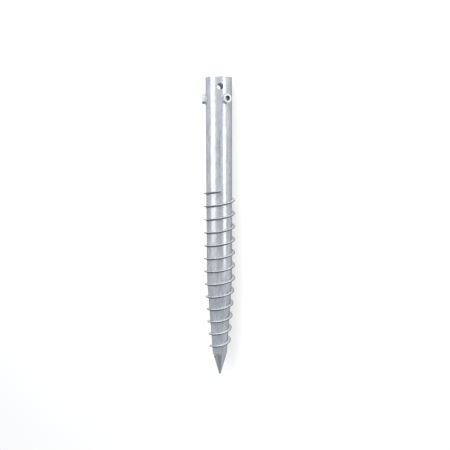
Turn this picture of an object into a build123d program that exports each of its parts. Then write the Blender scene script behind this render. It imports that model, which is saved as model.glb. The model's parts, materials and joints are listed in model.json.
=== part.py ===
"""Foundation ground screw: a swaged steel tube with a helical flight and three clamp nuts.

The screw is modelled upright about its own Z axis, tip at the origin and head upwards, and each
finished piece is then laid down on the floor as the whole screw would come to rest.
"""

from build123d import *
from math import atan2, cos, degrees, floor, radians, sin, tan
import os

# Shaft tube, heights measured up from the tip
overall_length = 900.0
tube_diameter = 76.0
tube_wall = 3.0
neck_height = 305.0  # where the straight tube starts to narrow
neck_blend = 400.0  # radius of the bend at the neck
shoulder_height = 72.0  # where the long taper turns into the point
shoulder_diameter = 44.0
shoulder_wall = 5.0  # the wall grows as the tube is drawn down
shoulder_blend = 30.0
tip_diameter = 4.8
closed_height = 26.0  # solid metal from the tip up to here
closed_bore_diameter = 8.0

# Cross hole for the driving pin, distance measured down from the head
pin_hole_diameter = 18.0
pin_hole_drop = 28.0

# M16 clamp nuts, set into the wall flush with the bore
nut_count = 3
nut_drop = 61.0
nut_across_flats = 24.0
nut_thickness = 13.0
thread_minor_diameter = 13.84
first_nut_angle = 90.0  # this nut faces the floor
nut_to_pin_angle = 146.0  # turned back from the first nut

# Fillet weld round each nut, standing on the tube's crown and leaning back to the nut
weld_height = 3.6
weld_edge = 0.4
weld_lean = 30.0
weld_root_radius = 30.0  # below the tube's skin all round the bead
weld_skirt = 0.5

# Helical flight, bent from strip that thins towards its outer edge
flight_pitch = 39.5
flight_turns = 12.5
flight_top_height = 576.0
flight_height = 9.0
flight_root_thickness = 3.0
flight_edge_thickness = 2.2
root_seat = 0.01  # the root edge seats on the tube this closely
root_slope = 0.1  # and slopes half as much as the taper, to suit both runs

# Hole that lets the zinc bath drain out of the point
drain_hole_diameter = 5.0
drain_hole_height = 60.0
drain_to_pin_angle = 56.0

# Derived sizes
tube_radius = tube_diameter / 2
bore_radius = tube_radius - tube_wall
shoulder_radius = shoulder_diameter / 2
nut_face_radius = bore_radius + nut_thickness
nut_height = overall_length - nut_drop
pin_height = overall_length - pin_hole_drop
pin_angle = first_nut_angle - nut_to_pin_angle
flight_radius = tube_radius + flight_height
taper_angle = degrees(atan2(tube_radius - shoulder_radius, neck_height - shoulder_height))
flight_bottom_height = flight_top_height - flight_turns * flight_pitch
flight_bottom_radius = tube_radius - (neck_height - flight_bottom_height) * tan(radians(taper_angle))


def outward(angle):
    """Unit vector square to the screw's axis, at an angle about it."""
    return Vector(cos(radians(angle)), sin(radians(angle)), 0)


def side_plane(angle, height):
    """Plane on the axis that faces outwards, with its X along the axis towards the head."""
    return Plane(origin=(0, 0, height), x_dir=(0, 0, 1), z_dir=outward(angle))


nut_planes = [
    side_plane(first_nut_angle + index * 360 / nut_count, nut_height) for index in range(nut_count)
]
pin_plane = side_plane(pin_angle, pin_height)
drain_plane = side_plane(pin_angle - drain_to_pin_angle, drain_hole_height)


# Shaft tube: one turned section with the neck, the point and the hollow inside
with BuildPart() as shaft_tube:
    with BuildSketch(Plane.XZ) as wall_section:
        with BuildLine():
            Polyline(
                (0, closed_height),
                (0, 0),
                (tip_diameter / 2, 0),
                (shoulder_radius, shoulder_height),
                (tube_radius, neck_height),
                (tube_radius, overall_length),
                (bore_radius, overall_length),
                (bore_radius, neck_height),
                (shoulder_radius - shoulder_wall, shoulder_height),
                (closed_bore_diameter / 2, closed_height),
                close=True,
            )
        make_face()
        outer_shoulder = wall_section.vertices().sort_by_distance((shoulder_radius, shoulder_height))[0]
        fillet(outer_shoulder, shoulder_blend)
        outer_neck = wall_section.vertices().sort_by_distance((tube_radius, neck_height))[0]
        fillet(outer_neck, neck_blend)
    revolve(axis=Axis.Z)
    with BuildSketch(pin_plane):
        Circle(pin_hole_diameter / 2)
    extrude(amount=tube_diameter, both=True, mode=Mode.SUBTRACT)
    with BuildSketch(*nut_planes):
        RegularPolygon(nut_across_flats / 2, 6, major_radius=False)
    extrude(amount=tube_diameter, mode=Mode.SUBTRACT)
    with BuildSketch(drain_plane):
        Circle(drain_hole_diameter / 2)
    extrude(amount=tube_diameter, mode=Mode.SUBTRACT)


def angle_about_axis(point):
    """Angle of a point about the screw's axis, in degrees."""
    return degrees(atan2(point.Y, point.X))


# Helical flight: one strip wound up the taper and on up the straight tube
taper_run = Helix(
    flight_pitch,
    neck_height - flight_bottom_height,
    flight_bottom_radius,
    center=(0, 0, flight_bottom_height),
    cone_angle=taper_angle,
)
straight_run = Helix(
    flight_pitch, flight_top_height - neck_height, tube_radius, center=(0, 0, neck_height)
).rotate(Axis.Z, angle_about_axis(taper_run @ 1))
strip_plane = Plane(taper_run @ 0, x_dir=(1, 0, 0), z_dir=taper_run % 0)
with BuildPart() as helix_flight:
    with BuildSketch(strip_plane):
        with BuildLine():
            Polyline(
                (root_seat, flight_root_thickness / 2),
                (flight_height, flight_edge_thickness / 2),
                (flight_height, -flight_edge_thickness / 2),
                (root_seat + root_slope, -flight_root_thickness / 2),
                close=True,
            )
        make_face()
    sweep(path=[taper_run, straight_run], is_frenet=True)
# The flight's upper end is in line with the pin hole
helix_flight.part = helix_flight.part.rotate(Axis.Z, pin_angle - angle_about_axis(straight_run @ 1))


def clamp_nut(plane):
    """Hexagon nut with a bore at the thread's minor diameter."""
    with BuildPart() as nut:
        with BuildSketch(plane.offset(bore_radius)):
            RegularPolygon(nut_across_flats / 2, 6, major_radius=False)
            Circle(thread_minor_diameter / 2, mode=Mode.SUBTRACT)
        extrude(amount=nut_thickness)
    return nut


def nut_weld(plane):
    """Fillet bead round the nut, deeper at the sides where the tube curves away from it."""
    bead_depth = tube_radius + weld_height - weld_root_radius
    bead_lean = bead_depth * tan(radians(weld_lean))
    with BuildPart() as weld:
        with BuildSketch(plane.offset(weld_root_radius)):
            RegularPolygon(nut_across_flats / 2 + weld_edge + bead_lean, 6, major_radius=False)
        extrude(amount=bead_depth)
        crown = weld.faces().sort_by_distance(plane.origin)[-1]
        chamfer(crown.edges(), bead_lean, bead_depth - weld_skirt, reference=crown)
        with Locations((0, 0, nut_height)):
            Cylinder(tube_radius, 3 * nut_across_flats, mode=Mode.SUBTRACT)
        with BuildSketch(plane):
            RegularPolygon(nut_across_flats / 2, 6, major_radius=False)
        extrude(amount=tube_diameter, mode=Mode.SUBTRACT)
    return weld


pieces = {"shaft_tube": shaft_tube, "helix_flight": helix_flight}
for number, plane in enumerate(nut_planes, start=1):
    pieces[f"clamp_nut_{number}"] = clamp_nut(plane)
    pieces[f"nut_weld_{number}"] = nut_weld(plane)


# Lying at rest: the first nut's face and the flight's lowest full turn touch the floor
turns_to_floor = ((pin_angle - first_nut_angle) % 360) / 360
floor_turns = floor((flight_top_height - neck_height) / flight_pitch - turns_to_floor)
touch_height = flight_top_height - (floor_turns + turns_to_floor) * flight_pitch
rest_tilt = atan2(nut_face_radius - flight_radius, nut_height - touch_height)
tip_lift = nut_face_radius * cos(rest_tilt) - nut_height * sin(rest_tilt)
lying = Plane(
    origin=(0, -overall_length / 2 * cos(rest_tilt), tip_lift),
    x_dir=(1, 0, 0),
    z_dir=(0, cos(rest_tilt), sin(rest_tilt)),
)

os.makedirs("parts", exist_ok=True)
for name, piece in pieces.items():
    laid_piece = piece.part.moved(lying.location)
    laid_piece.label = name
    export_step(laid_piece, f"parts/{name}.step")
print(f"axis tilted {degrees(rest_tilt):.2f} degrees at rest")
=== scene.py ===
# %% [markdown]
# # A ground screw in galvanized steel
#
# A ground screw is a steel tube with a blade wound round its lower half. It is turned into the
# soil like a wood screw and then carries a post in its open head. This lesson dresses the packed
# model of one: it stays at the same size and place, and each piece gets its real surface.
#
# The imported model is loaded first, as a fixed frame. Everything below is measured from it.

import json
import math

import bpy
from mathutils import Matrix, Vector


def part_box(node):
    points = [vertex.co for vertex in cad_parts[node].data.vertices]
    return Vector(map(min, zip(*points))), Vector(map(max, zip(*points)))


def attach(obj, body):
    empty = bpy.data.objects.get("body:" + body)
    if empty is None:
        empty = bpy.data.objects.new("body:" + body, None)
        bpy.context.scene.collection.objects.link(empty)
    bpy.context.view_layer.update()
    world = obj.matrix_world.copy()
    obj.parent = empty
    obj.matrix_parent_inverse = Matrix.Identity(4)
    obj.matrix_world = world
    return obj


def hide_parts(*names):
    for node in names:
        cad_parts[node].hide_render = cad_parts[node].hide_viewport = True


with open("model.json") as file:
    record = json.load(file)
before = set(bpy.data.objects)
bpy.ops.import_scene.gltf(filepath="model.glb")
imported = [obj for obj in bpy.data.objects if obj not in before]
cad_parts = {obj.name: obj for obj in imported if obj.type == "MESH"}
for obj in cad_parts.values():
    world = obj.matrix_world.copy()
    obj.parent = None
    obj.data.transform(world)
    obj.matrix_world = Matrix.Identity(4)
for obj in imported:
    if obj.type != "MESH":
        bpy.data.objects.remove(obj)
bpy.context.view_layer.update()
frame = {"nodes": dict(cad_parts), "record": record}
mounts = {mount["name"]: mount for mount in frame["record"]["mounts"]}
MM = 0.001
print("nodes:", ", ".join(sorted(frame["nodes"])))

# %% [markdown]
# The screw lies on the floor, on one clamp nut and on its blade. It could be modelled lying
# down, but it is easier to model it upright, as it would stand on a drawing board: tip at
# zero, head up, first nut towards +Y. One matrix then lays a finished piece down. The record's
# mounts give that matrix, because they know the direction of the bore and of the first nut.

# %% The upright drawing frame


def axes_at(x_axis, y_axis, z_axis, place):
    """Matrix that puts the three axes along given directions, at a place."""
    matrix = Matrix.Identity(4)
    for column, direction in enumerate((x_axis, y_axis, z_axis)):
        matrix.col[column][:3] = direction
    matrix.translation = place
    return matrix


bore = mounts["post_socket"]
head_direction = Vector(bore["axis"]).normalized()
nut_direction = Vector(mounts["clamp_screw_1"]["axis"]).normalized()
side_direction = nut_direction.cross(head_direction).normalized()
axis_point = Vector(bore["pos_m"])
low_corner, high_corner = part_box("shaft_tube")
tip_place = axis_point + head_direction * ((low_corner.y - axis_point.y) / head_direction.y)
laid_down = axes_at(side_direction, nut_direction, head_direction, tip_place)
screw_length = (high_corner.y - low_corner.y) / head_direction.y
print(f"screw length {screw_length / MM:.1f} mm, tip at {tip_place / MM} mm")

# %% [markdown]
# Places on a screw are easiest to name by a height above the tip and an angle round the axis.
# Three small helpers turn the frame's own coordinates into those and back.

# %% Heights and angles


def along_screw(point):
    """Height of a laid-down point above the tip, measured along the screw."""
    return (Vector(point) - tip_place).dot(head_direction)


def turn_of(direction):
    """Angle of a direction about the screw, in degrees from the side direction."""
    direction = Vector(direction)
    return math.degrees(math.atan2(direction.dot(nut_direction), direction.dot(side_direction)))


def round_the_screw(angle, radius, height):
    """Point in the drawing frame at an angle in degrees, a radius and a height."""
    turn = math.radians(angle)
    return Vector((radius * math.cos(turn), radius * math.sin(turn), height))


print(f"pin hole at {turn_of(mounts['drive_pin']['axis']):.1f} degrees round the screw")

# %% [markdown]
# ## The camera
#
# The camera looks down on the lying screw from the side of its pin hole, with the head at the
# top of the picture. It could be placed by hand in the floor's axes. Here its place is counted
# from the screw, as a turn, a distance and a height, so it stays right however the screw
# lies. A lens of ordinary length, under two metres away, gives the screw its slight narrowing
# towards the tip.

# %% Camera
CAMERA_TURN = 28.0  # degrees about the screw, from straight above
CAMERA_DISTANCE = 1.677
CAMERA_HEIGHT = 0.743
CAMERA_PITCH = 9.23
CAMERA_ROLL = -0.25
CAMERA_LENS = 45.4
CAMERA_SHIFT = 0.0126
SENSOR_WIDTH = 36.0
STRAIGHT_UP = -90  # angle round the screw that points up once the screw lies

toward_camera = laid_down.to_3x3() @ round_the_screw(STRAIGHT_UP + CAMERA_TURN, 1, 0)
camera_place = tip_place + head_direction * CAMERA_HEIGHT + toward_camera * CAMERA_DISTANCE
pitch = math.radians(CAMERA_PITCH)
look = -toward_camera * math.cos(pitch) - head_direction * math.sin(pitch)
up = head_direction * math.cos(pitch) - toward_camera * math.sin(pitch)
camera_data = bpy.data.cameras.new("camera")
camera_data.lens = CAMERA_LENS
camera_data.sensor_width = SENSOR_WIDTH
camera_data.shift_x = CAMERA_SHIFT
camera = bpy.data.objects.new("camera", camera_data)
bpy.context.scene.collection.objects.link(camera)
roll = Matrix.Rotation(math.radians(CAMERA_ROLL), 4, "Z")
camera.matrix_world = axes_at(look.cross(up), up, -look, camera_place) @ roll
bpy.context.scene.camera = camera
print("camera at", camera_place)

# %% [markdown]
# ## Shader helpers
#
# A finish is a tree of nodes. The nodes could be placed one by one, as by hand, but that takes
# many lines and hides what the tree works out. This class holds one tree, either a material's
# or the world's, and has one method that adds any node to it. Two more methods, for noise and
# for a mix of colours, only call it with the settings that come up again and again.

# %% A tree of nodes


class Paint:
    """A node tree of a material or a world, with one method that adds any node."""

    COLOUR_OUTPUT = 2  # where a Mix node keeps its colour result; its colours go in at 6 and 7

    def __init__(self, owner):
        owner.use_nodes = True
        self.tree = owner.node_tree
        self.tree.nodes.clear()

    def node(self, kind, settings=None, **inputs):
        """Add a node, set its settings, then its inputs by value or by link.

        An input is named with _ for a space, or by its number as in0, in1 and so on.
        """
        node = self.tree.nodes.new(kind)
        for key, value in (settings or {}).items():
            setattr(node, key, value)
        for key, value in inputs.items():
            name = key.replace("_", " ")
            index = int(name[2:]) if name.startswith("in") and name[2:].isdigit() else name
            socket = node.inputs[index]
            if isinstance(value, Wire):
                self.tree.links.new(value.socket, socket)
            elif isinstance(value, bpy.types.Node):
                self.tree.links.new(value.outputs[0], socket)
            else:
                socket.default_value = value
        return node

    def wire(self, node, output=0):
        """An output of a node, ready for arithmetic."""
        return Wire(self, node.outputs[output])

    def noise(self, place, scale, detail, rough):
        """Soft noise from 0 to 1 at a place."""
        return self.wire(self.node("ShaderNodeTexNoise", None, Vector=place, Scale=scale,
                                   Detail=detail, Roughness=rough))

    def blend(self, factor, first, second):
        """The first colour where the factor is 0, and the second where it is 1."""
        node = self.node("ShaderNodeMix", {"data_type": "RGBA"}, Factor=factor,
                         in6=first, in7=second)
        return self.wire(node, self.COLOUR_OUTPUT)


print("Paint adds any node to a tree")

# %% [markdown]
# Shader maths reads best as ordinary expressions. This second class wraps one socket, so that
# `wave * 0.5 + 0.2` adds its own Math nodes. Each operator has its reflected form too, so that
# `1 - mask` works as well as `mask - 1`.

# %% Arithmetic on sockets


class Wire:
    """A socket that adds Math nodes when it meets an operator."""

    def __init__(self, paint, socket):
        self.paint = paint
        self.socket = socket

    def math(self, operation, first, second):
        """Result of one Math node."""
        return self.paint.wire(self.paint.node("ShaderNodeMath", {"operation": operation},
                                               in0=first, in1=second))

    def __add__(self, other):
        return self.math("ADD", self, other)

    def __radd__(self, other):
        return self.math("ADD", other, self)

    def __sub__(self, other):
        return self.math("SUBTRACT", self, other)

    def __rsub__(self, other):
        return self.math("SUBTRACT", other, self)

    def __mul__(self, other):
        return self.math("MULTIPLY", self, other)

    def __rmul__(self, other):
        return self.math("MULTIPLY", other, self)

    def away_from(self, value):
        """Distance from a value, never negative."""
        return self.math("ABSOLUTE", self - value, 0.0)

    def step(self, low, high):
        """0 below low, 1 above high, and smooth between."""
        node = self.paint.node("ShaderNodeMapRange", {"interpolation_type": "SMOOTHSTEP"},
                               Value=self, From_Min=low, From_Max=high)
        return self.paint.wire(node)


print("Wire turns + - * into Math nodes")

# %% [markdown]
# ## The floor
#
# The screw lies on plain white paper. Paper that is only lit turns grey where the light falls
# off, and more light on it would also bleach the steel. So the paper is a matte surface with a
# glow of its own added. Only rays that look at the paper, straight, in a reflection or through
# glass, see the glow, and the screw's soft shadow stays in the matte part.

# %% Floor
FLOOR_SIZE = 12.0
FLOOR_DROP = 0.5 * MM
FLOOR_GLOW = 0.60
FLOOR_TONE = 0.38
WHITE = (1.0, 1.0, 1.0, 1.0)
bpy.ops.object.select_all(action="DESELECT")
bpy.ops.mesh.primitive_plane_add(size=FLOOR_SIZE, location=(0, 0, -FLOOR_DROP))
floor = bpy.context.object
floor.name = "floor"
paper_material = bpy.data.materials.new("white_paper")
paper = Paint(paper_material)
rays = paper.node("ShaderNodeLightPath")
looking = (paper.wire(rays, "Is Camera Ray") + paper.wire(rays, "Is Glossy Ray")
           + paper.wire(rays, "Is Transmission Ray"))
matte = paper.node("ShaderNodeBsdfDiffuse", None, Color=(FLOOR_TONE, FLOOR_TONE, FLOOR_TONE, 1.0))
glow = paper.node("ShaderNodeEmission", None, Color=WHITE, Strength=FLOOR_GLOW)
glowing_matte = paper.node("ShaderNodeAddShader", None, in0=matte, in1=glow)
surface = paper.node("ShaderNodeMixShader", None, Fac=looking, in1=matte, in2=glowing_matte)
paper.node("ShaderNodeOutputMaterial", None, Surface=surface)
floor.data.materials.append(paper_material)
print("floor", FLOOR_SIZE, "m wide")

# %% [markdown]
# ## The room's light
#
# The world stands for a white room. Near the horizon it is plain white. Its ceiling is bright
# over the head and darker over the point, as in a room lit from one end, so the tapering end
# of the screw turns from the light. The ceiling could be a real plane with a ramp on it, but a
# world shader that reads the direction of a ray does the same with no geometry.

# %% World
HORIZON = 1.0
CEILING_OVER_HEAD = 0.90
CEILING_OVER_TIP = 0.18
CEILING_TINT = (0.94, 0.975, 1.0, 1.0)
CEILING_EDGE = (0.13, 0.25)  # upward part of a ray's direction, where the ceiling begins
HEAD_END = (-0.9, -0.35)  # headward part of it, where the ceiling turns bright
world = bpy.data.worlds.new("white_room")
bpy.context.scene.world = world
room = Paint(world)
ray = room.wire(room.node("ShaderNodeTexCoord"), "Generated")
ray_parts = room.node("ShaderNodeSeparateXYZ", None, Vector=ray)
at_head = room.wire(ray_parts, "Y").step(*HEAD_END)
ceiling = room.wire(ray_parts, "Z").step(*CEILING_EDGE)
overhead = CEILING_OVER_TIP + at_head * (CEILING_OVER_HEAD - CEILING_OVER_TIP)
brightness = HORIZON + ceiling * (overhead - HORIZON)
background = room.node("ShaderNodeBackground", None, Strength=brightness,
                       Color=room.blend(ceiling, WHITE, CEILING_TINT))
room.node("ShaderNodeOutputWorld", None, Surface=background)
print("ceiling", CEILING_OVER_HEAD, "over the head,", CEILING_OVER_TIP, "over the tip")

# %% [markdown]
# ## Soft boxes
#
# Zinc shows what it reflects, so two large soft boxes stand one each side of the screw, the
# left one high and the right one low, and their reflections draw the tube's roundness. A
# third, square one stands beyond the head. It lights the face of every turn of the blade that
# looks towards the head and leaves a shadow under it. Each box is an area lamp. Its place
# could be set in the floor's axes, but then its aim would be set apart from it, so one
# function places a box and aims it at the screw.

# %% Soft boxes


def soft_box(name, turn, lean, distance, height, width, length, power):
    """Area lamp that faces the screw's axis at a height.

    turn is counted about the screw from straight up, lean from square on towards the head.
    """
    lean = math.radians(lean)
    outward = laid_down.to_3x3() @ round_the_screw(STRAIGHT_UP + turn, 1, 0)
    back = outward * math.cos(lean) + head_direction * math.sin(lean)
    long_side = head_direction * math.cos(lean) - outward * math.sin(lean)
    lamp = bpy.data.lights.new(name, "AREA")
    lamp.shape = "RECTANGLE"
    lamp.size = width
    lamp.size_y = length
    lamp.energy = power
    box = bpy.data.objects.new(name, lamp)
    bpy.context.scene.collection.objects.link(box)
    place = tip_place + head_direction * height + back * distance
    box.matrix_world = axes_at(long_side.cross(back), long_side, back, place)
    print(name, "at", place)


soft_box("left_box", turn=-25, lean=0, distance=1.2, height=0.78, width=0.95, length=1.15, power=8.4)
soft_box("right_box", turn=76, lean=0, distance=1.2, height=0.74, width=0.43, length=1.3, power=6.6)
soft_box("head_box", turn=15, lean=62, distance=1.8, height=0.35, width=0.8, length=0.8, power=19)

# %% [markdown]
# ## Hot-dip galvanized steel
#
# The whole screw is dipped in molten zinc after welding. The coat is bright but never even:
# it is mottled, it runs in long streaks as the screw is drawn out of the bath, and its gloss
# changes from patch to patch. Layers of noise that are stretched along the screw give that
# without any picture of zinc, so one recipe makes the coat of every piece.
#
# Real zinc is metal throughout, but its crystals scatter light widely. A part of plain matte
# surface, mixed in by a low metallic value, stands in for that. Where a piece's painted shade
# mark is set, the coat turns dark grey. The mark is painted on bores, threads, edges, the nuts'
# flats that face the point and weld roots, and it is painted shade for the shade that gathers there.

# %% Galvanized recipe
# dark grey of the tube's seam line, and of the painted shade
SEAM_AND_SHADE_GREY = (0.06, 0.065, 0.075, 1)
GRAZING_TINT = (0.15, 0.16, 0.18, 1)
SPECULAR_LEVEL = 0.2
DRAWN_OUT = (1.0, 0.22, 1.0)  # squeezes noise along the screw, so that it comes out longer
PATCH_SCALE = 95.0
PATCH_DETAIL = 4.0
PATCH_ROUGHNESS = 0.6
STREAK_SCALE = 320.0
GRAIN_SCALE = 900.0
FINE_DETAIL = 2.0
FINE_ROUGHNESS = 0.5
PATCH_TONE = 0.62
STREAK_TONE = 0.26
GRAIN_TONE = 0.12
TONE_LIMITS = (0.34, 0.66)
PATCH_RELIEF = 0.7
GRAIN_RELIEF = 0.3
MIDDLE_RELIEF = 0.5
GLOSS_SPREAD = 0.16
SKIN_STRENGTH = 0.12
SKIN_DEPTH = 0.4 * MM


def galvanized(name, dark, light, gloss, metallic, shade_strength, seam=None):
    """Zinc-coated steel: two greys in patches and streaks, with uneven gloss.

    The shade strength says how far points with painted shade turn to the dark grey. A seam
    is a function that takes this paint, the place and the streaks, and gives the mask of a dark line.
    """
    material = bpy.data.materials.new(name)
    zinc = Paint(material)
    place = zinc.wire(zinc.node("ShaderNodeTexCoord"), "Object")
    stretched = zinc.node("ShaderNodeMapping", None, Vector=place, Scale=DRAWN_OUT)
    patches = zinc.noise(stretched, PATCH_SCALE, PATCH_DETAIL, PATCH_ROUGHNESS)
    streaks = zinc.noise(stretched, STREAK_SCALE, FINE_DETAIL, FINE_ROUGHNESS)
    grain = zinc.noise(place, GRAIN_SCALE, FINE_DETAIL, FINE_ROUGHNESS)
    tone = (patches * PATCH_TONE + streaks * STREAK_TONE + grain * GRAIN_TONE).step(*TONE_LIMITS)
    colour = zinc.blend(tone, dark, light)
    # painted shade: points marked on bores, threads, edges and weld roots turn dark grey
    dull = zinc.wire(zinc.node("ShaderNodeAttribute", {"attribute_name": "dull"}), "Fac")
    colour = zinc.blend(dull * shade_strength, colour, SEAM_AND_SHADE_GREY)
    if seam:
        colour = zinc.blend(seam(zinc, place, streaks), colour, SEAM_AND_SHADE_GREY)
    relief = patches * PATCH_RELIEF + grain * GRAIN_RELIEF
    skin = zinc.node("ShaderNodeBump", None, Strength=SKIN_STRENGTH, Distance=SKIN_DEPTH,
                     Height=relief)
    metal = zinc.node("ShaderNodeBsdfPrincipled", None, Base_Color=colour, Metallic=metallic,
                      Roughness=gloss + (relief - MIDDLE_RELIEF) * GLOSS_SPREAD,
                      Specular_Tint=GRAZING_TINT, Specular_IOR_Level=SPECULAR_LEVEL, Normal=skin)
    zinc.node("ShaderNodeOutputMaterial", None, Surface=metal)
    print(name, "nodes:", len(zinc.tree.nodes))
    return material


# %% [markdown]
# ## The seam
#
# The pipe was rolled from strip and welded along its length. What is left of the weld is a
# fine broken dark line on part of the tube. It could be a groove, but it is far too fine for
# one. It is straight, so a mask on the Object coordinates draws it: near one value across,
# between two values along, and on the upper side of the lying tube only.

# %% Seam
TUBE_RADIUS = (high_corner.x - low_corner.x) / 2
SEAM_ANGLE = -59.0
SEAM_ENDS = (600 * MM, 770 * MM)
SEAM_HALF_WIDTH = 0.9 * MM
SEAM_CORE = 0.4  # share of the half width at full strength
SEAM_FULL = 0.75  # share of the length at full strength
SEAM_BREAKS = (0.38, 0.56)  # streak levels between which the line appears
SEAM_LIFT = 5 * MM
SEAM_STRENGTH = 0.75


def tube_seam(paint, place, streaks):
    """Mask of the seam: a broken line along the tube."""
    parts = paint.node("ShaderNodeSeparateXYZ", None, Vector=place)
    low, high = (laid_down @ round_the_screw(SEAM_ANGLE, TUBE_RADIUS, end) for end in SEAM_ENDS)
    half_length = (high.y - low.y) / 2
    across = paint.wire(parts, "X").away_from(low.x)
    along = paint.wire(parts, "Y").away_from((low.y + high.y) / 2)
    upper = paint.wire(parts, "Z").step(tip_place.z, tip_place.z + SEAM_LIFT)
    line = 1 - across.step(SEAM_HALF_WIDTH * SEAM_CORE, SEAM_HALF_WIDTH)
    inside = 1 - along.step(half_length * SEAM_FULL, half_length)
    return line * inside * streaks.step(*SEAM_BREAKS) * upper * SEAM_STRENGTH


print(f"tube radius {TUBE_RADIUS / MM:.2f} mm, seam {(SEAM_ENDS[1] - SEAM_ENDS[0]) / MM:.0f} mm long")

# %% [markdown]
# ## The four metals
#
# Pipe, nuts and weld metal hold different amounts of silicon, and zinc grows on each with its
# own tone and gloss. The same recipe gives all four metals. The tube and the welds are the
# darkest, the tube is the glossiest, and the rolled strip of the blade is the palest. The blade's
# pale grey is painted light: it stands in for the light that its faces towards the head catch.

# %% Metals
tube_zinc = galvanized("galvanized_tube", dark=(0.33, 0.35, 0.38, 1), light=(0.455, 0.475, 0.505, 1),
                       gloss=0.28, metallic=0.62, shade_strength=0.55, seam=tube_seam)
# painted light: the blade's paler greys stand in for the light on its faces towards the head
flight_zinc = galvanized("galvanized_flight", dark=(0.64, 0.665, 0.69, 1), light=(0.80, 0.82, 0.84, 1),
                         gloss=0.40, metallic=0.35, shade_strength=0.95)
nut_zinc = galvanized("galvanized_nut", dark=(0.44, 0.45, 0.47, 1), light=(0.58, 0.59, 0.60, 1),
                      gloss=0.34, metallic=0.55, shade_strength=0.9)
bead_zinc = galvanized("galvanized_weld", dark=(0.32, 0.34, 0.36, 1), light=(0.48, 0.49, 0.51, 1),
                       gloss=0.45, metallic=0.4, shade_strength=0.7)

# %% [markdown]
# ## The tube
#
# The real tube is a piece of steel pipe whose lower half is squeezed down to a taper and then
# to a closed point. It could be made from a cylinder by moving rings of points, but a body of
# revolution is quicker to draw as an outline. The outline has only the corners that the shape
# needs, and the corners that the swaging leaves round are arcs.

# %% Outline of the tube
BORE_RADIUS = bore["dims"]["r_mm"] * MM
NECK_HEIGHT = along_screw(bore["pos_m"]) - bore["dims"]["length_mm"] * MM / 2
SHOULDER_HEIGHT = 72 * MM
SHOULDER_RADIUS = 22 * MM
SHOULDER_WALL = 5 * MM
TIP_RADIUS = 2.4 * MM
CLOSED_HEIGHT = 26 * MM
CLOSED_RADIUS = 4 * MM
TIP_ARC = (1.2 * MM, 4)  # radius of the rounding, and steps in it
SHOULDER_ARC = (30 * MM, 5)
NECK_ARC = (400 * MM, 9)
RIM_ARC = (0.7 * MM, 3)
MOUTH_ARC = (0.5 * MM, 2)


def rounded_corner(before, corner, after, radius, steps):
    """Points of an arc that rounds a corner of an outline."""
    before, corner, after = Vector(before), Vector(corner), Vector(after)
    to_before = (before - corner).normalized()
    to_after = (after - corner).normalized()
    half_angle = to_before.angle(to_after) / 2
    reach = radius / math.tan(half_angle)
    centre = corner + (to_before + to_after).normalized() * (radius / math.sin(half_angle))
    start = corner + to_before * reach - centre
    end = corner + to_after * reach - centre
    return [centre + start.slerp(end, step / steps) * radius for step in range(steps + 1)]


corners = [(0, 0), (TIP_RADIUS, 0), (SHOULDER_RADIUS, SHOULDER_HEIGHT), (TUBE_RADIUS, NECK_HEIGHT),
           (TUBE_RADIUS, screw_length), (BORE_RADIUS, screw_length), (BORE_RADIUS, NECK_HEIGHT)]
arcs = [TIP_ARC, SHOULDER_ARC, NECK_ARC, RIM_ARC, MOUTH_ARC]
outline = [Vector(corners[0])]
for before, corner, after, arc in zip(corners, corners[1:], corners[2:], arcs):
    outline += rounded_corner(before, corner, after, *arc)
outline += [Vector(corners[-1]), Vector((SHOULDER_RADIUS - SHOULDER_WALL, SHOULDER_HEIGHT)),
            Vector((CLOSED_RADIUS, CLOSED_HEIGHT)), Vector((0, CLOSED_HEIGHT))]
print("outline corners and arc points:", len(outline))

# %% [markdown]
# An outline is drawn as by hand: one point is extruded from corner to corner. A curve object
# could hold it as well, but extruded edges are already a mesh, ready to be spun. The helpers
# for this also open and close edit mode, because an operator acts on all that is selected.

# %% Drawing helpers


def start_edit(obj):
    """Select one object alone and open it in edit mode with nothing selected."""
    bpy.ops.object.select_all(action="DESELECT")
    obj.select_set(True)
    bpy.context.view_layer.objects.active = obj
    bpy.ops.object.mode_set(mode="EDIT")
    bpy.ops.mesh.select_all(action="DESELECT")


def end_edit():
    """Close edit mode."""
    bpy.ops.object.mode_set(mode="OBJECT")


def draw_line(name, points, closed=False):
    """A line of edges drawn by extruding one point, in the plane of the screw's axis."""
    bpy.ops.object.select_all(action="DESELECT")
    bpy.ops.mesh.primitive_plane_add(size=1 * MM)
    line = bpy.context.object
    line.name = name
    bpy.ops.object.mode_set(mode="EDIT")
    bpy.ops.mesh.merge(type="CENTER")
    bpy.ops.transform.translate(value=(points[0].x, 0, points[0].y))
    for start, end in zip(points, points[1:]):
        move = end - start
        bpy.ops.mesh.extrude_region_move(TRANSFORM_OT_translate={"value": (move.x, 0, move.y)})
    end_edit()
    if closed:
        line.data.vertices[0].select = True
        bpy.ops.object.mode_set(mode="EDIT")
        bpy.ops.mesh.edge_face_add()
        end_edit()
    return line


def tidy_mesh(obj, merge_distance=0.002 * MM):
    """Merge doubles and turn all faces outwards."""
    start_edit(obj)
    bpy.ops.mesh.select_all(action="SELECT")
    bpy.ops.mesh.remove_doubles(threshold=merge_distance)
    bpy.ops.mesh.normals_make_consistent(inside=False)
    end_edit()


print("a line is drawn in the plane of the screw's axis, then spun or wound")

# %% [markdown]
# The outline is spun once round the axis. The Screw modifier could do that too, but one turn
# with no rise is just what the Spin tool makes. Long stretches first get rings of points, so
# that the cuts that follow leave fewer long thin triangles.

# %% Spin the outline
SPIN_STEPS = 144
RING_SPACING = 8 * MM


def with_rings(points, spacing):
    """Add points along the long stretches of an outline."""
    full = [points[0]]
    for start, end in zip(points, points[1:]):
        parts = max(1, round((end - start).length / spacing))
        full += [start.lerp(end, part / parts) for part in range(1, parts + 1)]
    return full


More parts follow.
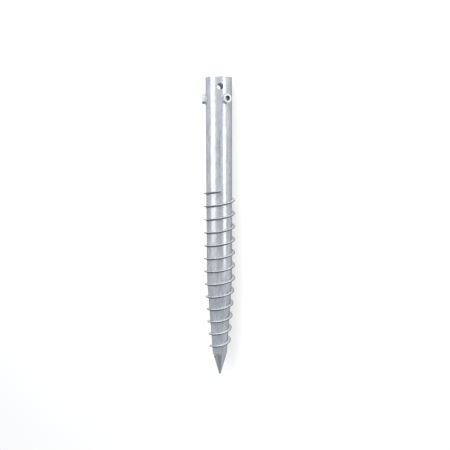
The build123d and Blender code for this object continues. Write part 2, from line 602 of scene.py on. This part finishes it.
tube = draw_line("tube", with_rings(outline, RING_SPACING))
start_edit(tube)
bpy.ops.mesh.select_all(action="SELECT")
bpy.ops.mesh.spin(steps=SPIN_STEPS, angle=2 * math.pi, center=(0, 0, 0), axis=(0, 0, 1))
end_edit()
tidy_mesh(tube)
print("tube faces:", len(tube.data.polygons))

# %% [markdown]
# The holes come next. The driving pin's hole goes right through both walls, three hexagonal
# seats let the clamp nuts into the wall, and a small hole near the point lets the zinc drain.
# They could be left open in the mesh and bridged, but a Boolean cut gives the true saddle
# shape where a hole meets the round wall. Each is cut by a cutter of the hole's own shape,
# placed by a matrix that looks out from the screw's axis.

# %% Cutting helpers


def apply_modifier(obj, kind, **settings):
    """Add one modifier, set it and apply it."""
    modifier = obj.modifiers.new(kind, kind)
    for key, value in settings.items():
        setattr(modifier, key, value)
    bpy.ops.object.select_all(action="DESELECT")
    bpy.context.view_layer.objects.active = obj
    obj.select_set(True)
    bpy.ops.object.modifier_apply(modifier=modifier.name)


def cut(obj, cutter, operation="DIFFERENCE"):
    """Cut an object with another one, which is then deleted."""
    apply_modifier(obj, "BOOLEAN", operation=operation, object=cutter, solver="EXACT")
    bpy.data.objects.remove(cutter, do_unlink=True)


def looking_out(angle, height):
    """Matrix on the screw's axis: Z points outwards at an angle, X towards the head."""
    outwards = round_the_screw(angle, 1, 0)
    headwards = Vector((0, 0, 1))
    return axes_at(headwards, outwards.cross(headwards), outwards, (0, 0, height))


def hole_cutter(matrix, radius, start, end, sides=64, turn=0.0):
    """Round or hexagonal cutter between two distances from the screw's axis."""
    bpy.ops.object.select_all(action="DESELECT")
    bpy.ops.mesh.primitive_cylinder_add(vertices=sides, radius=radius, depth=end - start)
    cutter = bpy.context.object
    turned = Matrix.Rotation(turn, 4, "Z")
    cutter.data.transform(Matrix.Translation((0, 0, (start + end) / 2)) @ turned)
    cutter.matrix_world = matrix
    bpy.ops.object.transform_apply(location=True, rotation=True, scale=True)
    return cutter


print("a cutter for 0 degrees and 100 mm stands at", looking_out(0, 100 * MM).translation)

# %% [markdown]
# The pin hole and the nut seats take their places from the record's mounts, and the drain
# hole is counted from the pin hole. A nut stands with two of its corners in line with the
# screw.

# %% Cut the holes
NUT_FLATS = 24 * MM
CORNER_ANGLE = 30  # degrees from the middle of a flat to a corner
NUT_CORNERS = NUT_FLATS / 2 / math.cos(math.radians(CORNER_ANGLE))
HEXAGON = 6
CORNER_TURN = math.radians(CORNER_ANGLE)  # corners in line with the screw
DRAIN_TURN = 56  # degrees from the pin hole
DRAIN_HEIGHT = 60 * MM
DRAIN_RADIUS = 2.5 * MM
DRAIN_SIDES = 32
pin_hole = mounts["drive_pin"]
PIN_ANGLE = turn_of(pin_hole["axis"])
PIN_RADIUS = pin_hole["dims"]["r_mm"] * MM
DRAIN_ANGLE = PIN_ANGLE - DRAIN_TURN
WELL_OUTSIDE = 2 * TUBE_RADIUS
INSIDE_BORE = BORE_RADIUS / 2
screw_mounts = [mounts[f"clamp_screw_{number}"] for number in (1, 2, 3)]
nut_places = [looking_out(turn_of(mount["axis"]), along_screw(mount["pos_m"]))
              for mount in screw_mounts]
pin_place = looking_out(PIN_ANGLE, along_screw(pin_hole["pos_m"]))
drain_place = looking_out(DRAIN_ANGLE, DRAIN_HEIGHT)
cut(tube, hole_cutter(pin_place, PIN_RADIUS, -WELL_OUTSIDE, WELL_OUTSIDE))
for place in nut_places:
    cut(tube, hole_cutter(place, NUT_CORNERS, INSIDE_BORE, WELL_OUTSIDE, HEXAGON, CORNER_TURN))
cut(tube, hole_cutter(drain_place, DRAIN_RADIUS, 0, TUBE_RADIUS, DRAIN_SIDES))
print(f"pin hole at {PIN_ANGLE:.1f} degrees, drain hole at {DRAIN_ANGLE:.1f} degrees")

# %% [markdown]
# ## A bead
#
# A weld bead is a row of small overlapping puddles of steel, so it has ripples. A cylinder
# could be bent along the joint, but a curve with a round section follows any joint, and its
# radius can swell at each puddle. The swelling and a slow drift are sines of the length
# travelled, so a bead comes out the same each time. The welds further down are such beads, and
# so is the cutter of the next step.

# %% Bead
BEAD_LEAST = 0.86  # share of the bead's size between two puddles
BEAD_SWELL = 0.14  # further share on top of a puddle
SLOW_DRIFT = 0.08
SLOW_RATE = 310  # radians of the sine for each metre of bead
FAST_DRIFT = 0.06
FAST_RATE = 870
ROUND_RESOLUTION = 2  # gives the round section eight sides


def bead(name, points, size, ripple, closed, seed=0.0):
    """Round bead along a row of points, with a radius that swells at every puddle."""
    curve = bpy.data.curves.new(name, "CURVE")
    curve.dimensions = "3D"
    curve.bevel_depth = size
    curve.bevel_resolution = ROUND_RESOLUTION
    curve.use_fill_caps = not closed
    spline = curve.splines.new("POLY")
    spline.points.add(len(points) - 1)
    spline.use_cyclic_u = closed
    travelled = 0.0
    for index, point in enumerate(points):
        travelled += (Vector(point) - Vector(points[index - 1])).length if index else 0.0
        puddle = abs(math.sin(math.pi * travelled / ripple + seed))
        drift = (SLOW_DRIFT * math.sin(travelled * SLOW_RATE + seed)
                 + FAST_DRIFT * math.sin(travelled * FAST_RATE))
        spline.points[index].co = (*point, 1.0)
        spline.points[index].radius = BEAD_LEAST + BEAD_SWELL * puddle + drift
    bead_object = bpy.data.objects.new(name, curve)
    bpy.context.scene.collection.objects.link(bead_object)
    bpy.ops.object.select_all(action="DESELECT")
    bpy.context.view_layer.objects.active = bead_object
    bead_object.select_set(True)
    bpy.ops.object.convert(target="MESH")
    tidy_mesh(bead_object)
    return bead_object


print(f"a bead's radius swells by up to {BEAD_SWELL / BEAD_LEAST:.0%} at a puddle")

# %% [markdown]
# Where the pipe closes to a point, the swaging leaves a crease beside the drain hole. It could
# be a dark line in the material, but a shallow groove catches the light as the real one does.
# A thin bead laid along the skin is the cutter.

# %% Crease beside the drain hole
CREASE_TURN = 62.0  # degrees round the screw
CREASE_START = 0.5 * MM  # above the middle of the drain hole
CREASE_FALL = 1.5 * MM
CREASE_RADIUS = 0.8 * MM
CREASE_RIPPLE = 9 * MM
CREASE_STEPS = 40


def point_radius_at(height):
    """Outer radius of the point at a height below the shoulder."""
    return TIP_RADIUS + (SHOULDER_RADIUS - TIP_RADIUS) * height / SHOULDER_HEIGHT


crease_line = []
for step in range(CREASE_STEPS + 1):
    share = step / CREASE_STEPS
    height = DRAIN_HEIGHT + CREASE_START - CREASE_FALL * share
    angle = DRAIN_ANGLE + CREASE_TURN * share
    crease_line.append(round_the_screw(angle, point_radius_at(height), height))
cut(tube, bead("crease", crease_line, CREASE_RADIUS, CREASE_RIPPLE, closed=False))
print("tube faces after all cuts:", len(tube.data.polygons))

# %% [markdown]
# Shade is painted on the bore, the drain hole and the crease, point by point: a mark darkens
# the metal there. A second material on those faces could do it too, but a mark on the points
# keeps one metal and one slot. Then the tube is laid down, smoothed and handed over in place of
# its plain model.

# %% Lay the tube down
SMOOTH_ANGLE = 35
BORE_MARGIN = 0.1 * MM
CREASE_REACH = 4 * MM
CREASE_DEPTH = 0.15 * MM


def mark_painted_shade(obj, is_shaded):
    """Store on each point whether shade is painted there, for its material to read."""
    dull = obj.data.attributes.new("dull", "FLOAT", "POINT")
    for vertex, mark in zip(obj.data.vertices, dull.data):
        mark.value = 1.0 if is_shaded(vertex.co) else 0.0


def is_hidden_metal(point):
    """True where shade is painted: in the bore, in the drain hole and in the crease beside it."""
    radius = math.hypot(point.x, point.y)
    if point.z > NECK_HEIGHT:
        return radius < BORE_RADIUS + BORE_MARGIN
    near_drain = abs(point.z - DRAIN_HEIGHT) < CREASE_REACH
    return near_drain and radius < point_radius_at(point.z) - CREASE_DEPTH


def lay_down(obj, node, metal, placement=Matrix.Identity(4), smooth=SMOOTH_ANGLE):
    """Lay a finished piece down on the floor, give it its metal and hand it to its node."""
    bpy.ops.object.select_all(action="DESELECT")
    bpy.context.view_layer.objects.active = obj
    obj.select_set(True)
    obj.matrix_world = laid_down @ placement
    bpy.ops.object.transform_apply(location=True, rotation=True, scale=True)
    bpy.ops.object.shade_smooth_by_angle(angle=math.radians(smooth))
    obj.data.materials.clear()
    obj.data.materials.append(metal)
    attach(obj, "root")
    if node:
        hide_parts(node)
    triangles = sum(len(face.vertices) - 2 for face in obj.data.polygons)
    print(f"{obj.name}: {triangles} triangles")


mark_painted_shade(tube, is_hidden_metal)
lay_down(tube, "shaft_tube", tube_zinc)

# %% [markdown]
# ## The flight
#
# The flight is one long strip of steel, wound on edge round the tube and welded along its
# root. The rolling that bends it also thins and rounds its outer edge. Its section could be a
# plain rectangle with a bevel, but the edge is what shows, so its round is drawn in the
# outline. The edge gets painted shade, a dark grey that stands in for the shade along it and
# under it. One more point on each side, just inside the round, keeps that painted shade from
# spreading over the whole face.

# %% Section of the strip
FLIGHT_REACH = 9 * MM
ROOT_THICKNESS = 3 * MM
EDGE_THICKNESS = 2.2 * MM
ROOT_SINK = 0.3 * MM
EDGE_MARGIN = 0.7 * MM
EDGE_STEPS = 6
edge_radius = EDGE_THICKNESS / 2
edge_start = TUBE_RADIUS + FLIGHT_REACH - edge_radius
root_start = TUBE_RADIUS - ROOT_SINK
near_edge = edge_start - EDGE_MARGIN
narrowing = (ROOT_THICKNESS / 2 - edge_radius) / (edge_start - root_start)
near_edge_half = edge_radius + narrowing * EDGE_MARGIN
strip = [Vector((root_start, -ROOT_THICKNESS / 2)), Vector((near_edge, -near_edge_half))]
for step in range(EDGE_STEPS + 1):
    angle = math.radians(180 * step / EDGE_STEPS - 90)
    strip.append(Vector((edge_start + edge_radius * math.cos(angle), edge_radius * math.sin(angle))))
strip += [Vector((near_edge, near_edge_half)), Vector((root_start, ROOT_THICKNESS / 2))]
print("points in the strip's section:", len(strip))

# %% [markdown]
# The Screw modifier winds the section into a helix, and both ends are then filled. The strip
# could be swept along a helix curve instead, but the modifier keeps the section upright by
# itself. The helix is turned so that its top end comes in line with the pin hole.

# %% Wind the flight
PITCH = 39.5 * MM
TURNS = 12.5
FLIGHT_TOP = 576 * MM
FLIGHT_BOTTOM = FLIGHT_TOP - PITCH * TURNS
STEPS_PER_TURN = 120
winding_steps = round(STEPS_PER_TURN * TURNS)
flight = draw_line("flight", strip, closed=True)
apply_modifier(flight, "SCREW", angle=2 * math.pi * TURNS, screw_offset=PITCH * TURNS,
               steps=winding_steps, render_steps=winding_steps)
start_edit(flight)
bpy.ops.mesh.select_all(action="SELECT")
bpy.ops.mesh.fill_holes(sides=0)
end_edit()
tidy_mesh(flight)
start_turn = math.radians(PIN_ANGLE) - 2 * math.pi * TURNS
flight.data.transform(Matrix.Translation((0, 0, FLIGHT_BOTTOM)) @ Matrix.Rotation(start_turn, 4, "Z"))
print(f"flight from {FLIGHT_BOTTOM / MM:.0f} to {FLIGHT_TOP / MM:.0f} mm above the tip")

# %% [markdown]
# No modifier narrows a helix along a cone, so every point below the neck moves in by as much
# as the tube narrows at its height. The edge's painted shade is marked before that, while the
# edge still has one radius all the way down.

# %% Follow the taper
EDGE_TOLERANCE = 0.1 * MM


def tube_radius_at(height):
    """Outer radius of the tube at a height above the shoulder."""
    share = (height - SHOULDER_HEIGHT) / (NECK_HEIGHT - SHOULDER_HEIGHT)
    return SHOULDER_RADIUS + min(max(share, 0), 1) * (TUBE_RADIUS - SHOULDER_RADIUS)


def follow_taper(obj):
    """Move every point in by as much as the tube has narrowed at its height."""
    for vertex in obj.data.vertices:
        flat = Vector((vertex.co.x, vertex.co.y, 0))
        vertex.co -= flat.normalized() * (TUBE_RADIUS - tube_radius_at(vertex.co.z))


# painted shade on the blade's edge, for the dark line of shade along it
mark_painted_shade(flight, lambda point: math.hypot(point.x, point.y) > edge_start - EDGE_TOLERANCE)
follow_taper(flight)
lay_down(flight, "helix_flight", flight_zinc)

# %% [markdown]
# ## The clamp nuts
#
# Three M16 nuts stand in the tube's wall and take the bolts that clamp the post. A nut is
# turned and tapped, and its form comes from those two steps, so the model takes them too. It
# could be a hexagonal cylinder with a bevel, but the turned corners of a real nut are parts of
# a cone, which a bevel doesn't give. First comes the round blank: the rim of its outer end is
# turned off at thirty degrees.

# %% Turn the blank
NUT_THICKNESS = screw_mounts[0]["dims"]["length_mm"] * MM
BLANK_SIDES = 96
BLANK_MARGIN = 0.02 * MM
CORNER_CHAMFER = 1.7 * MM
CHAMFER_SLOPE = 30
CHAMFER_DEPTH = CORNER_CHAMFER * math.tan(math.radians(CHAMFER_SLOPE))
UPWARD = 0.9  # least height of a unit normal on a face that looks up


def edit_where(obj, kind, is_wanted):
    """Open edit mode with only those polygons or edges selected that pass a test."""
    start_edit(obj)
    end_edit()
    for part in getattr(obj.data, kind):
        part.select = is_wanted(part)
    bpy.ops.object.mode_set(mode="EDIT")


bpy.ops.object.select_all(action="DESELECT")
bpy.ops.mesh.primitive_cylinder_add(vertices=BLANK_SIDES, radius=NUT_CORNERS + BLANK_MARGIN,
                                    depth=NUT_THICKNESS - CHAMFER_DEPTH)
nut = bpy.context.object
nut.name = "nut"
nut.data.transform(Matrix.Translation((0, 0, (NUT_THICKNESS - CHAMFER_DEPTH) / 2)))
edit_where(nut, "polygons", lambda face: face.normal.z > UPWARD)
bpy.ops.mesh.extrude_region_move(TRANSFORM_OT_translate={"value": (0, 0, CHAMFER_DEPTH)})
rim_share = 1 - CORNER_CHAMFER / NUT_CORNERS
bpy.ops.transform.resize(value=(rim_share, rim_share, 1))
end_edit()
print(f"blank {NUT_THICKNESS / MM:.1f} mm thick, {2 * NUT_CORNERS / MM:.1f} mm across")

# %% [markdown]
# The blank is then cut to a hexagon. The hexagon's upright edges are bevelled a little first,
# because zinc rounds every sharp corner. What the blank and the hexagon share is the nut.

# %% Cut the hexagon
CORNER_ROUNDING = 0.5 * MM
ROUNDING_STEPS = 3


def is_upright(edge):
    """True for an edge of the hexagon that runs from its bottom to its top."""
    low, high = (hexagon.data.vertices[index].co.z for index in edge.vertices)
    return abs(low - high) > NUT_THICKNESS


hexagon = hole_cutter(Matrix.Identity(4), NUT_CORNERS, -NUT_THICKNESS, 2 * NUT_THICKNESS,
                      HEXAGON, CORNER_TURN)
edit_where(hexagon, "edges", is_upright)
bpy.ops.mesh.bevel(offset=CORNER_ROUNDING, segments=ROUNDING_STEPS)
end_edit()
cut(nut, hexagon, "INTERSECT")
print("nut faces before the thread:", len(nut.data.polygons))

# %% [markdown]
# A thread could be a bump in the material, but it shows in the open hole, so it is real. A tap
# has the thread's own profile, here a little simplified: crest and root are both an eighth of
# the pitch wide, with straight flanks between them. The Screw modifier winds that profile into
# a tap longer than the nut. Its two ends are cut flat and filled, and a Boolean then cuts it
# out of the nut.

# %% Tap the thread
THREAD_PITCH = 2 * MM
THREAD_MINOR = screw_mounts[0]["dims"]["r_mm"] * MM
THREAD_MAJOR = 8 * MM
CREST = THREAD_PITCH / 8
FLANK = THREAD_PITCH * 3 / 8
TAP_TURNS = 11
TAP_STEPS = 48
tooth = [Vector((THREAD_MINOR, 0)), Vector((THREAD_MINOR, CREST)),
         Vector((THREAD_MAJOR, CREST + FLANK)), Vector((THREAD_MAJOR, 2 * CREST + FLANK)),
         Vector((THREAD_MINOR, THREAD_PITCH))]
tap = draw_line("tap", tooth)
apply_modifier(tap, "SCREW", angle=2 * math.pi, screw_offset=THREAD_PITCH, steps=TAP_STEPS,
               render_steps=TAP_STEPS, iterations=TAP_TURNS)
tap.data.transform(Matrix.Translation((0, 0, (NUT_THICKNESS - THREAD_PITCH * TAP_TURNS) / 2)))
tidy_mesh(tap)
start_edit(tap)
for height, way in ((-THREAD_PITCH, -1), (NUT_THICKNESS + THREAD_PITCH, 1)):
    bpy.ops.mesh.select_all(action="SELECT")
    bpy.ops.mesh.bisect(plane_co=(0, 0, height), plane_no=(0, 0, way), use_fill=True,
                        clear_outer=True, clear_inner=False)
end_edit()
tidy_mesh(tap)
cut(nut, tap)
print(f"thread {2 * THREAD_MAJOR / MM:.0f} mm wide, {THREAD_PITCH / MM:.0f} mm pitch")

# %% [markdown]
# A thread's mouth is countersunk, so that a bolt finds its way in and no burr stands up. A
# bevel can't find one clean edge where a thread runs out, so a cone cuts each end.

# %% Countersinks
SINK_DEPTH = 2 * MM
SINK_WIDENING = 1.5  # growth of the cone's radius for each unit of its depth
SINK_START = 0.8 * MM  # how far inside the thread the cone begins
SINK_SIDES = 64


def countersink(face_height, way):
    """Cone that opens the thread's mouth a little wider than the thread."""
    bpy.ops.object.select_all(action="DESELECT")
    narrow = THREAD_MINOR - SINK_START
    bpy.ops.mesh.primitive_cone_add(vertices=SINK_SIDES, radius1=narrow, depth=SINK_DEPTH,
                                    radius2=narrow + SINK_DEPTH * SINK_WIDENING)
    cone = bpy.context.object
    turn = Matrix.Identity(4) if way > 0 else Matrix.Rotation(math.pi, 4, "X")
    cone.data.transform(Matrix.Translation((0, 0, face_height)) @ turn)
    return cone


cut(nut, countersink(NUT_THICKNESS, 1))
cut(nut, countersink(0, -1))
tidy_mesh(nut)
print("nut faces:", len(nut.data.polygons))

# %% [markdown]
# The thread and the two flats that face the screw's point and turn from the light carry painted
# shade: the metal there is darkened to stand in for their shade. Then the one nut is copied three
# times, each copy with its own mesh, and set in the wall by the same matrices that cut the seats.

# %% Set the three nuts in the wall
INNER_END = 0.5 * MM
OUTER_END = 0.1 * MM
THREAD_MARGIN = 0.05 * MM
FLAT_MARGIN = 0.5 * MM
NUT_SMOOTH_ANGLE = 25


def is_dark_on_nut(point):
    """True where shade is painted: in the thread, and on the two flats that face the screw's point."""
    if point.z < INNER_END or point.z > NUT_THICKNESS - OUTER_END:
        return False
    in_thread = math.hypot(point.x, point.y) < THREAD_MAJOR + THREAD_MARGIN
    return in_thread or point.x < -NUT_CORNERS / 2 - FLAT_MARGIN


mark_painted_shade(nut, is_dark_on_nut)
for number, place in enumerate(nut_places, start=1):
    bpy.ops.object.select_all(action="DESELECT")
    nut.select_set(True)
    bpy.context.view_layer.objects.active = nut
    bpy.ops.object.duplicate()
    copy = bpy.context.object
    copy.name = f"nut_{number}"
    seated = place @ Matrix.Translation((0, 0, BORE_RADIUS))
    lay_down(copy, f"clamp_nut_{number}", nut_zinc, seated, NUT_SMOOTH_ANGLE)
bpy.data.objects.remove(nut, do_unlink=True)

# %% [markdown]
# ## The weld beads
#
# One bead runs round each nut, where its hexagon meets the curved tube. The joint could be
# found from the two meshes, but it is simple enough to work out: along each side of the
# hexagon, and at the height of the tube's round skin under it. The corners are cut short, as a
# welder goes round them.

# %% Beads round the nuts
NUT_BEAD = 2.3 * MM
PUDDLE = 1.9 * MM
POINTS_PER_SIDE = 40
JOINT_MARGIN = 0.3 * MM
CORNER_CUT = 0.6 * MM
WELD_SMOOTH_ANGLE = 60


def nut_corner(number):
    """Corner of the joint's hexagon, in the nut's own frame."""
    angle = math.radians(360 / HEXAGON * number)
    reach = NUT_CORNERS + JOINT_MARGIN
    return Vector((reach * math.cos(angle), reach * math.sin(angle), 0))


def round_the_nut(index):
    """Point of the joint round a nut, in the nut's own frame: along the hexagon, on the tube."""
    side, part = divmod(index, POINTS_PER_SIDE)
    point = nut_corner(side).lerp(nut_corner(side + 1), part / POINTS_PER_SIDE)
    point = point * min(1, (NUT_CORNERS - CORNER_CUT) / point.length)
    return Vector((point.x, point.y, math.sqrt(TUBE_RADIUS ** 2 - point.y ** 2)))


joint = [round_the_nut(index) for index in range(HEXAGON * POINTS_PER_SIDE)]
for number, place in enumerate(nut_places, start=1):
    nut_bead = bead(f"nut_bead_{number}", joint, NUT_BEAD, PUDDLE, closed=True, seed=number)
    lay_down(nut_bead, f"nut_weld_{number}", bead_zinc, place, WELD_SMOOTH_ANGLE)

# %% [markdown]
# One long bead follows the flight's underside down the whole helix. It fills the corner
# between the blade and the tube, so it is sunk a little into both. It has no plain model to
# replace: it is a thin trim that only rides on the body.

# %% Bead under the flight
FLIGHT_BEAD = 2.3 * MM
FLIGHT_PUDDLE = 2.4 * MM
BEAD_DROP = 1.4 * MM
BEAD_SINK = 0.7 * MM
BEAD_STEPS_PER_TURN = 360
root_line = []
for step in range(round(BEAD_STEPS_PER_TURN * TURNS) + 1):
    turned = step / BEAD_STEPS_PER_TURN
    angle = PIN_ANGLE - 360 * (TURNS - turned)
    under = FLIGHT_BOTTOM + PITCH * turned - ROOT_THICKNESS / 2 - BEAD_DROP
    root_line.append(round_the_screw(angle, tube_radius_at(under) - BEAD_SINK, under))
flight_bead = bead("flight_bead", root_line, FLIGHT_BEAD, FLIGHT_PUDDLE, closed=False)
# painted shade on the whole bead: its dark grey stands in for the shadow under the blade
mark_painted_shade(flight_bead, lambda point: True)
lay_down(flight_bead, None, bead_zinc, smooth=WELD_SMOOTH_ANGLE)

# %% [markdown]
# ## View and sizes
#
# The Standard view shows a colour as it is lit, with no film curve over it. A film curve would
# grey the white paper.

# %% View settings
bpy.context.scene.view_settings.view_transform = "Standard"
print("view transform:", bpy.context.scene.view_settings.view_transform)
